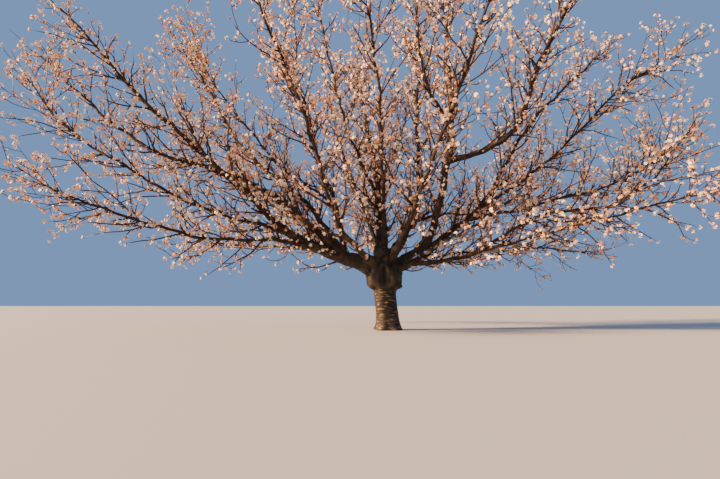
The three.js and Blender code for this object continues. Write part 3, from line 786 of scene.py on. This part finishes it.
def trunk_skin(limbs, routes):
    meshes = [trunk_tube(), stump_tube(), *limb_roots(limbs, routes)]
    for azimuth, height, out, radius in BURLS:
        meshes.append(ball(trunk_centre(height) + heading_of(azimuth, 0) * out, radius))
    rough = object_from("rough_trunk", joined(meshes), None)
    remesh = rough.modifiers.new("skin", "REMESH")
    remesh.mode = "VOXEL"
    remesh.voxel_size = SKIN_GRAIN
    ease = rough.modifiers.new("ease", "SMOOTH")
    ease.iterations = SKIN_EASE
    graph = bpy.context.evaluated_depsgraph_get()
    mesh = bpy.data.meshes.new_from_object(rough.evaluated_get(graph))
    bpy.data.objects.remove(rough)
    return mesh


def vectors_of(items, field):
    values = np.zeros(3 * len(items))
    items.foreach_get(field, values)
    return values.reshape(-1, 3)


def trunk_bark(limbs, routes, material):
    mesh = trunk_skin(limbs, routes)
    verts, normals = vectors_of(mesh.vertices, "co"), vectors_of(mesh.vertex_normals, "vector")
    relief = trunk_relief(verts)
    mesh.vertices.foreach_set("co", (verts + normals * relief[:, None]).ravel())
    # The relief is kept on the vertices, for the painted shade in the bark's hollows
    mesh.attributes.new("relief", "FLOAT", "POINT").data.foreach_set("value", relief)
    shell = bmesh.new()
    shell.from_mesh(mesh)
    everything = [*shell.verts, *shell.edges, *shell.faces]
    cut = bmesh.ops.bisect_plane(shell, geom=everything, plane_no=UP, clear_inner=True)["geom_cut"]
    rim = [part for part in cut if isinstance(part, bmesh.types.BMEdge)]
    bmesh.ops.triangle_fill(shell, edges=rim, use_beauty=True)
    bmesh.ops.triangulate(shell, faces=shell.faces[:])
    bmesh.ops.recalc_face_normals(shell, faces=shell.faces[:])
    shell.to_mesh(mesh)
    shell.free()
    mesh.shade_smooth()
    mesh.materials.clear()
    mesh.materials.append(material)
    mesh.name = "trunk_bark"
    return placed("trunk_bark", mesh)


# The cut face of the sawn stump, with a rim of bark grown round it, year rings and cracks from its middle
FACE = Record(rings=14, sides=48, middle=0.04, wider=0.006, above=0.012, wall=0.05, narrower=0.002)
RIM = Record(depth=0.014, width=0.1)
DISH = Record(depth=0.012, over=(0.0, 0.3))
YEARS = Record(depth=0.0015, wave=70, over=(0.05, 0.2))
SPLITS = Record(depth=0.006, count=5, sway=2, twist=3, narrow=12)


def stump_face():
    side, over = across(stump_heading)
    share = np.linspace(1, FACE.middle, FACE.rings)[:, None]
    inwards = 1 - share
    turn = around(FACE.sides)[None]
    rim = RIM.depth * np.exp(-((inwards / RIM.width) ** 2))
    dish = DISH.depth * smooth_step(*DISH.over, inwards)
    years = YEARS.depth * np.sin(share * YEARS.wave) * smooth_step(*YEARS.over, inwards)
    wave = np.cos(SPLITS.count * turn + SPLITS.sway * np.sin(SPLITS.twist * share))
    splits = SPLITS.depth * np.maximum(wave, 0) ** SPLITS.narrow * inwards
    top = STUMP.length * STUMP_SKIN.share
    height = top + FACE.above + rim - dish + years - splits
    spokes = turned(side, over, turn)
    reach = (STUMP.tip + FACE.wider) * share
    face = stump_root + stump_heading * height[..., None] + spokes * reach[..., None]
    wall = stump_root + stump_heading * (top - FACE.wall)
    wall = wall + spokes[0] * (STUMP.tip - FACE.narrower)
    middle = stump_root + stump_heading * (top + FACE.above - DISH.depth)
    return np.vstack([wall, face.reshape(-1, 3), middle]), ring_faces(FACE.rings + 1, FACE.sides)


# Blossom: each spur carries a few flowers on stalks, some buds and some young leaves
FLOWERS_PER_SPUR = (2, 5)
BUD_SHARE = 0.1
FLOWER_RADIUS = (0.021, 0.029)
STALK_LENGTH = (0.012, 0.03)
STALK_RADIUS = 0.0022
STALK_LEAN = (18, 84)
FACING_SPREAD = 0.7
CUP = (0.15, 0.5)
CUP_SPREAD = (0.6, 1.4)
PETALS = 5
PETAL_SPREAD = 27
PETAL_SHOULDER = 0.84
PETAL_TIP_RISE = 0.8
PETAL_UNEVEN = (0.86, 1.1)
STAMENS = Record(share=0.35, radius=0.17, height=0.36, foot=0.0015)
BUD = Record(length=0.017, radius=0.0055)
LEAF = Record(share=0.5, length=(0.026, 0.048), width=0.5, middle=0.45, fold=0.5, lean=(15, 60), lift=0.3)
PETAL_FINISH = dict(roughness=0.62, sheen=0.15)
# The petals' tints: a spread from white to pink that is dealt out at random, with the warm peach and orange
# cast of low sunlight painted into the colours
TINTS = [
    ("white", (0.86, 0.79, 0.66), 0.22), ("ivory", (0.86, 0.68, 0.43), 0.45),
    ("blush", (0.84, 0.54, 0.35), 0.66), ("peach", (0.85, 0.45, 0.2), 0.87),
    ("pink", (0.72, 0.36, 0.26), 1.0),
]
OWN_TINT = 0.35


# The clusters at the tips of paths. Those of one parent are mostly of its tint.
def tips(paths, parent_seed):
    tip = paths.points[:, -1]
    return Record(tip=tip, heading=unit(tip - paths.points[:, -2]), seed=paths.seed, parent_seed=parent_seed)


# The flowers and buds of all clusters: where each stalk starts, where it ends and how it points
def stalks(ends):
    least, most = FLOWERS_PER_SPUR
    owner, place = places_on(least + (draw(ends.seed, "flowers") * (most - least + 1)).astype(int))
    seed = child_seed(ends.seed[owner], place)
    along = ends.heading[owner]
    outward = outward_of(along, place, draw(ends.seed[owner], "flower_turn"))
    heading = leaning(along, outward, mix(*STALK_LEAN, draw(seed, "flower_lean")))
    length = mix(*STALK_LENGTH, draw(seed, "stalk"))
    spread = np.stack([draw(seed, "facing", axis) - 0.5 for axis in range(3)], axis=1)
    own = draw(seed, "own_tint") < OWN_TINT
    return Record(
        seed=seed,
        foot=ends.tip[owner],
        centre=ends.tip[owner] + heading * length[:, None],
        facing=unit(heading + FACING_SPREAD * spread),
        tint=np.where(own, draw(seed, "tint"), draw(ends.parent_seed[owner], "spray_tint")),
        bud=draw(seed, "bud") < BUD_SHARE,
    )


def flower_radius(stalk):
    return mix(*FLOWER_RADIUS, draw(stalk.seed, "flower_size"))[:, None]


# Petals, each of two faces from the flower's middle to a shoulder, the tip and the other shoulder
def flower_mesh(stalk):
    angle = np.repeat(360 / PETALS * np.arange(PETALS), 3) + np.tile([-PETAL_SPREAD, 0, PETAL_SPREAD], PETALS)
    reach = np.tile([PETAL_SHOULDER, 1.0, PETAL_SHOULDER], PETALS)
    rise = np.tile([1.0, PETAL_TIP_RISE, 1.0], PETALS)
    angle = np.radians(angle) + 2 * math.pi * draw(stalk.seed, "petal_turn")[:, None]
    radius = flower_radius(stalk)
    cup = mix(*CUP, draw(stalk.seed, "cup"))[:, None]
    uneven = np.stack([draw(stalk.seed, "petal", i) for i in range(len(reach))], axis=1)
    reach = radius * reach * mix(*PETAL_UNEVEN, uneven)
    rise = radius * rise * cup * mix(*CUP_SPREAD, uneven[:, ::-1])
    side, over = across(stalk.facing)
    flat = turned(side[:, None], over[:, None], angle) * reach[..., None]
    rim = stalk.centre[:, None] + flat + stalk.facing[:, None] * rise[..., None]
    verts = np.concatenate([stalk.centre[:, None], rim], axis=1)
    return spread_faces(verts, [[0, 1 + 3 * p + i, 2 + 3 * p + i] for p in range(PETALS) for i in range(2)])


def stamen_mesh(stalks):
    stalk = only(stalks, draw(stalks.seed, "stamens") < STAMENS.share)
    radius = flower_radius(stalk)
    foot = stalk.centre + stalk.facing * STAMENS.foot
    tip = stalk.centre + stalk.facing * (radius * STAMENS.height)
    return spike_mesh(foot, tip, radius[:, 0] * STAMENS.radius)


# Stalks, each of two crossed blades that narrow towards the spur
def stalk_mesh(stalk):
    side, over = across(unit(stalk.foot - stalk.centre))
    corners = [stalk.centre + sign * STALK_RADIUS * edge for edge in (side, over) for sign in (1, -1)]
    return spread_faces(np.stack([*corners, stalk.foot], axis=1), [[0, 1, 4], [2, 3, 4]])


# Buds, each of two spikes that meet at its middle
def bud_mesh(stalk):
    half = stalk.facing * BUD.length / 2
    radius = np.full(len(half), BUD.radius)
    return joined([spike_mesh(stalk.centre, stalk.centre + way * half, radius) for way in (1, -1)])


# Young leaves, each two faces folded along the middle
def leaf_mesh(ends):
    bearing = only(ends, draw(ends.seed, "leaves") < LEAF.share)
    meshes = []
    for place in range(2):
        outward = outward_of(bearing.heading, place, draw(bearing.seed, "leaf_turn"))
        lean = mix(*LEAF.lean, draw(bearing.seed, "leaf_lean", place))
        along = unit(leaning(bearing.heading, outward, lean) + LEAF.lift * UP)
        length = mix(*LEAF.length, draw(bearing.seed, "leaf_length", place))[:, None]
        side, over = across(along)
        width = length * LEAF.width / 2
        middle = bearing.tip + along * length * LEAF.middle + over * width * LEAF.fold
        edges = middle + side * width, middle - side * width
        corners = [bearing.tip, edges[0], bearing.tip + along * length, edges[1]]
        meshes.append(spread_faces(np.stack(corners, axis=1), [[0, 1, 2], [0, 2, 3]]))
    return joined(meshes)


# Materials. Each named input of a node is set to a value, or linked to another node's output.
def fed(tree, node, **inputs):
    for name, value in inputs.items():
        socket = next(s for s in node.inputs if s.name == name.replace("_", " ") and s.enabled)
        if isinstance(value, bpy.types.NodeSocket):
            tree.links.new(value, socket)
        elif socket.type == "RGBA":
            socket.default_value = (*value, 1)
        else:
            socket.default_value = value
    return node


def add_node(tree, kind, **inputs):
    return fed(tree, tree.nodes.new("ShaderNode" + kind), **inputs)


def surface(tree, **inputs):
    fed(tree, tree.nodes["Principled BSDF"], **inputs)


def new_material(name, color, roughness, sheen=0.0):
    material = bpy.data.materials.new(name)
    material.use_nodes = True
    tree = material.node_tree
    surface(tree, Base_Color=color, Roughness=roughness, Sheen_Weight=sheen)
    return material, tree


def noise_node(tree, scale, stretch=(1, 1, 1), detail=4):
    place = add_node(tree, "TexCoord").outputs["Object"]
    mapped = add_node(tree, "Mapping", Vector=place, Scale=stretch).outputs["Vector"]
    return add_node(tree, "TexNoise", Vector=mapped, Scale=scale, Detail=detail).outputs["Fac"]


def ramp_node(tree, source, stops):
    ramp = add_node(tree, "ValToRGB", Fac=source)
    while len(ramp.color_ramp.elements) < len(stops):
        ramp.color_ramp.elements.new(0.5)
    for element, (position, color) in zip(ramp.color_ramp.elements, stops):
        element.position = position
        element.color = (*color, 1)
    return ramp.outputs["Color"]


def mixed_color(tree, share, first, second, blend="MIX"):
    node = add_node(tree, "Mix")
    node.data_type = "RGBA"
    node.blend_type = blend
    fed(tree, node, Factor=share, A=first, B=second)
    return next(s for s in node.outputs if s.enabled)


def remap(tree, source, low, high, to_low=0.0, to_high=1.0):
    ends = dict(From_Min=low, From_Max=high, To_Min=to_low, To_Max=to_high)
    return add_node(tree, "MapRange", Value=source, **ends).outputs["Result"]


def product(tree, first, second):
    node = add_node(tree, "Math")
    node.operation = "MULTIPLY"
    tree.links.new(first, node.inputs[0])
    tree.links.new(second, node.inputs[1])
    return node.outputs[0]


# The upward part of a surface's place or of the way it faces
def upward_part(tree, output):
    geometry = add_node(tree, "NewGeometry")
    return add_node(tree, "SeparateXYZ", Vector=geometry.outputs[output]).outputs["Z"]


# Makes a surface uneven by a grain, and its gloss too, from a least to a most roughness
def add_grain(tree, grain, distance, strength, gloss=None):
    bump = add_node(tree, "Bump", Height=grain, Distance=distance, Strength=strength)
    surface(tree, Normal=bump.outputs["Normal"])
    if gloss:
        surface(tree, Roughness=remap(tree, grain, *GRAIN_RANGE, *gloss))


# Moss in patches on the bark that faces up, and only over a height where it has one
def with_moss(tree, bark, moss):
    share = remap(tree, upward_part(tree, "Normal"), *moss.facing)
    share = product(tree, share, remap(tree, noise_node(tree, moss.scale), *moss.patches))
    if hasattr(moss, "over"):
        share = product(tree, share, remap(tree, upward_part(tree, "Position"), *moss.over))
    return mixed_color(tree, share, bark, moss.color)


GRAIN_RANGE = (0.3, 0.7)
OLD_BARK_OVER = (0.7, 0.8)
# Painted shade in the trunk's hollows: relief from the deepest hollow to the crests, and how much of the
# colour is left there
HOLLOW_SHADE_RANGE = (-0.02, 0.006, 0.25, 1.0)
TRUNK_MOSS = Record(facing=(-0.2, 0.7), scale=5.0, patches=(0.45, 0.62, 0.0, 0.75), over=(0.9, 1.15),
                    color=(0.05, 0.046, 0.012))
LIMB_MOSS = Record(facing=(0.0, 0.9), scale=2.3, patches=(0.45, 0.6, 0.0, 0.6), color=(0.046, 0.04, 0.012))
SOFT_GRAIN = Record(scale=260.0, distance=0.0006, strength=0.35, uneven=0.12)


# Banded red-brown bark under the graft, and grey, folded and partly mossy bark over it, with painted shade
# darkening the hollows of its relief
def trunk_material():
    material, tree = new_material("trunk_bark", (0.1, 0.06, 0.04), 0.8)
    bands = ramp_node(tree, noise_node(tree, 9.0, stretch=(1, 1, 4.0), detail=6), [
        (0.44, (0.005, 0.003, 0.001)), (0.54, (0.018, 0.01, 0.003)),
        (0.6, (0.08, 0.042, 0.013)), (0.69, (0.3, 0.18, 0.07)),
    ])
    old = ramp_node(tree, noise_node(tree, 9.0, stretch=(1, 1, 0.5)), [
        (0.3, (0.005, 0.003, 0.002)), (0.5, (0.017, 0.011, 0.005)), (0.72, (0.058, 0.038, 0.018)),
    ])
    high = remap(tree, upward_part(tree, "Position"), *OLD_BARK_OVER)
    bark = with_moss(tree, mixed_color(tree, high, bands, old), TRUNK_MOSS)
    # Painted shade: the colour is darkened where the bark's relief sinks into hollows, cracks and folds
    relief = add_node(tree, "Attribute")
    relief.attribute_name = "relief"
    hollow_shade_level = remap(tree, relief.outputs["Fac"], *HOLLOW_SHADE_RANGE)
    shade = ramp_node(tree, hollow_shade_level, [(0.0, (0, 0, 0)), (1.0, (1, 1, 1))])
    surface(tree, Base_Color=mixed_color(tree, 1.0, bark, shade, "MULTIPLY"))
    grain = noise_node(tree, 60.0, stretch=(1, 1, 2.0), detail=6)
    add_grain(tree, grain, distance=0.004, strength=0.7, gloss=(0.62, 0.95))
    return material


def limb_material():
    material, tree = new_material("limb_bark", (0.1, 0.07, 0.05), 0.85)
    bark = ramp_node(tree, noise_node(tree, 11.0), [
        (0.3, (0.006, 0.003, 0.001)), (0.52, (0.02, 0.009, 0.003)), (0.7, (0.078, 0.032, 0.011)),
    ])
    surface(tree, Base_Color=with_moss(tree, bark, LIMB_MOSS))
    add_grain(tree, noise_node(tree, 75.0, detail=6), distance=0.003, strength=0.6, gloss=(0.65, 0.95))
    return material


def twig_material():
    material, tree = new_material("twig_bark", (0.036, 0.013, 0.005), 0.6)
    add_grain(tree, noise_node(tree, 90.0), distance=0.001, strength=0.5, gloss=(0.45, 0.8))
    return material


def stump_material():
    material, tree = new_material("sawn_wood", (0.1, 0.08, 0.06), 0.9)
    weathered = ramp_node(tree, noise_node(tree, 30.0, detail=6), [
        (0.3, (0.01, 0.007, 0.005)), (0.55, (0.03, 0.022, 0.016)), (0.75, (0.085, 0.064, 0.046)),
    ])
    surface(tree, Base_Color=weathered)
    add_grain(tree, noise_node(tree, 120.0, detail=5), distance=0.002, strength=0.6)
    return material


# A soft part's finish: one plain colour, with fine unevenness in its gloss and its surface
def soft_material(name, color, roughness, sheen=0.0):
    material, tree = new_material(name, color, roughness, sheen)
    gloss = roughness - SOFT_GRAIN.uneven, roughness + SOFT_GRAIN.uneven
    grain = noise_node(tree, SOFT_GRAIN.scale)
    add_grain(tree, grain, SOFT_GRAIN.distance, SOFT_GRAIN.strength, gloss)
    return material


# The studio: a plain pale floor and plain soft light, and a wide camera low in front of the tree
LENS = 20
CAMERA = Record(place=(-0.525, -7.5, 0.45), pitch=9.3)
FLOOR = Record(reach=160, depth=0.001, color=(0.46, 0.45, 0.43), roughness=0.9)
SKY = Record(color=(0.26, 0.44, 0.8), strength=0.74)
SUNS = [
    Record(name="key", azimuth=191, rise=16, color=(1.0, 0.64, 0.36), strength=23.5, softness=5),
    Record(name="fill", azimuth=290, rise=35, color=(1.0, 0.7, 0.5), strength=0.3, softness=60),
    Record(name="rim", azimuth=40, rise=45, color=(0.85, 0.92, 1.0), strength=0.1, softness=60),
]


def make_stage():
    corners = [(-1, -1), (1, -1), (1, 1), (-1, 1)]
    verts = [(FLOOR.reach * x, FLOOR.reach * y, -FLOOR.depth) for x, y in corners]
    material = new_material("floor", FLOOR.color, FLOOR.roughness)[0]
    object_from("floor", (verts, [[0, 1, 2], [0, 2, 3]]), material, smooth=False)
    world = bpy.data.worlds.new("studio")
    world.use_nodes = True
    fed(world.node_tree, world.node_tree.nodes["Background"], Color=SKY.color, Strength=SKY.strength)
    bpy.context.scene.world = world
    for sun in SUNS:
        light = bpy.data.lights.new(sun.name, "SUN")
        light.color = sun.color
        light.energy = sun.strength
        light.angle = math.radians(sun.softness)
        lamp = placed(sun.name, light)
        lamp.rotation_euler = (math.radians(90 - sun.rise), 0, math.radians(sun.azimuth + 90))


def make_camera():
    data = bpy.data.cameras.new("camera")
    data.lens = LENS
    camera = placed("camera", data)
    camera.location = CAMERA.place
    camera.rotation_euler = (math.radians(90 + CAMERA.pitch), 0, 0)
    bpy.context.scene.camera = camera


def carry(piece, slot, *replaced):
    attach(piece, "root")
    if replaced:
        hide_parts(*replaced)


def nodes_of(kind):
    return [name for name in nodes if name.startswith(kind)]


make_camera()
make_stage()

limbs = lay_out_limbs()
routes = [limb_route(limb) for limb in limbs]
carry(trunk_bark(limbs, routes, trunk_material()), "bark", "trunk")
carry(object_from("stump_wood", stump_face(), stump_material()), "bark", "sawn_stump")
limb_wood = joined([mesh for route in routes for mesh in limb_tubes(route)])
carry(object_from("limb_bark", limb_wood, limb_material()), "bark", *nodes_of("bough_"))

limb_paths = limb_group(limbs, routes)
main_twigs = twig_group(solid_twigs(limbs), routes)
branches = grow(limb_paths, BRANCHES)
side_twigs = [grow(main_twigs, SIDE_TWIGS), grow(branches, SIDE_TWIGS), grow(limb_paths, LIMB_TWIGS)]
low_limbs = only(limb_paths, np.array([limb.rule.name in LOW_LIMBS for limb in limbs]))
trailing = grow(low_limbs, TRAILING)
trailing = only(trailing, trailing.outward[:, 2] < TRAILING_BELOW)
twigs = [main_twigs, branches, *side_twigs, trailing]
shoots = [grow(group, SHOOTS) for group in twigs] + [grow(limb_paths, LIMB_SHOOTS)]
spurs = [grow(group, SPURS) for group in (*twigs, *shoots)] + [grow(limb_paths, LIMB_SPURS)]

twig_bark = twig_material()
for name, groups in (("twig_bark", twigs), ("shoot_bark", shoots)):
    wood = joined([tube_mesh(group.points, group.radii, TWIG_SIDES) for group in groups])
    carry(object_from(name, wood, twig_bark), "bark")
spur_wood = joined([spike_mesh(spur.points[:, 0], spur.points[:, -1], spur.radii[:, 0]) for spur in spurs])
carry(object_from("spur_bark", spur_wood, twig_bark), "bark")

spur_ends = [tips(group, group.parent_seed) for group in spurs]
ends = together(spur_ends + [tips(group, group.seed) for group in (*twigs, *shoots)])
flowers = stalks(ends)
open_flowers = only(flowers, ~flowers.bud)
buds = only(flowers, flowers.bud)

low_tint = 0.0
for tint, color, high_tint in TINTS:
    of_tint = only(open_flowers, (open_flowers.tint >= low_tint) & (open_flowers.tint < high_tint))
    material = soft_material("petals_" + tint, color, **PETAL_FINISH)
    petals = object_from("petals_" + tint, flower_mesh(of_tint), material)
    carry(petals, "blossom", *(nodes_of("blossom_") if low_tint == 0 else ()))
    low_tint = high_tint

for name, mesh, color, roughness in (
    ("stamens", stamen_mesh(open_flowers), (0.55, 0.3, 0.1), 0.7),
    ("buds", bud_mesh(buds), (0.66, 0.26, 0.26), 0.6),
    ("stalks", stalk_mesh(flowers), (0.14, 0.09, 0.035), 0.6),
    ("young_leaves", leaf_mesh(ends), (0.2, 0.072, 0.026), 0.55),
):
    carry(object_from(name, mesh, soft_material(name, color, roughness)), "blossom")
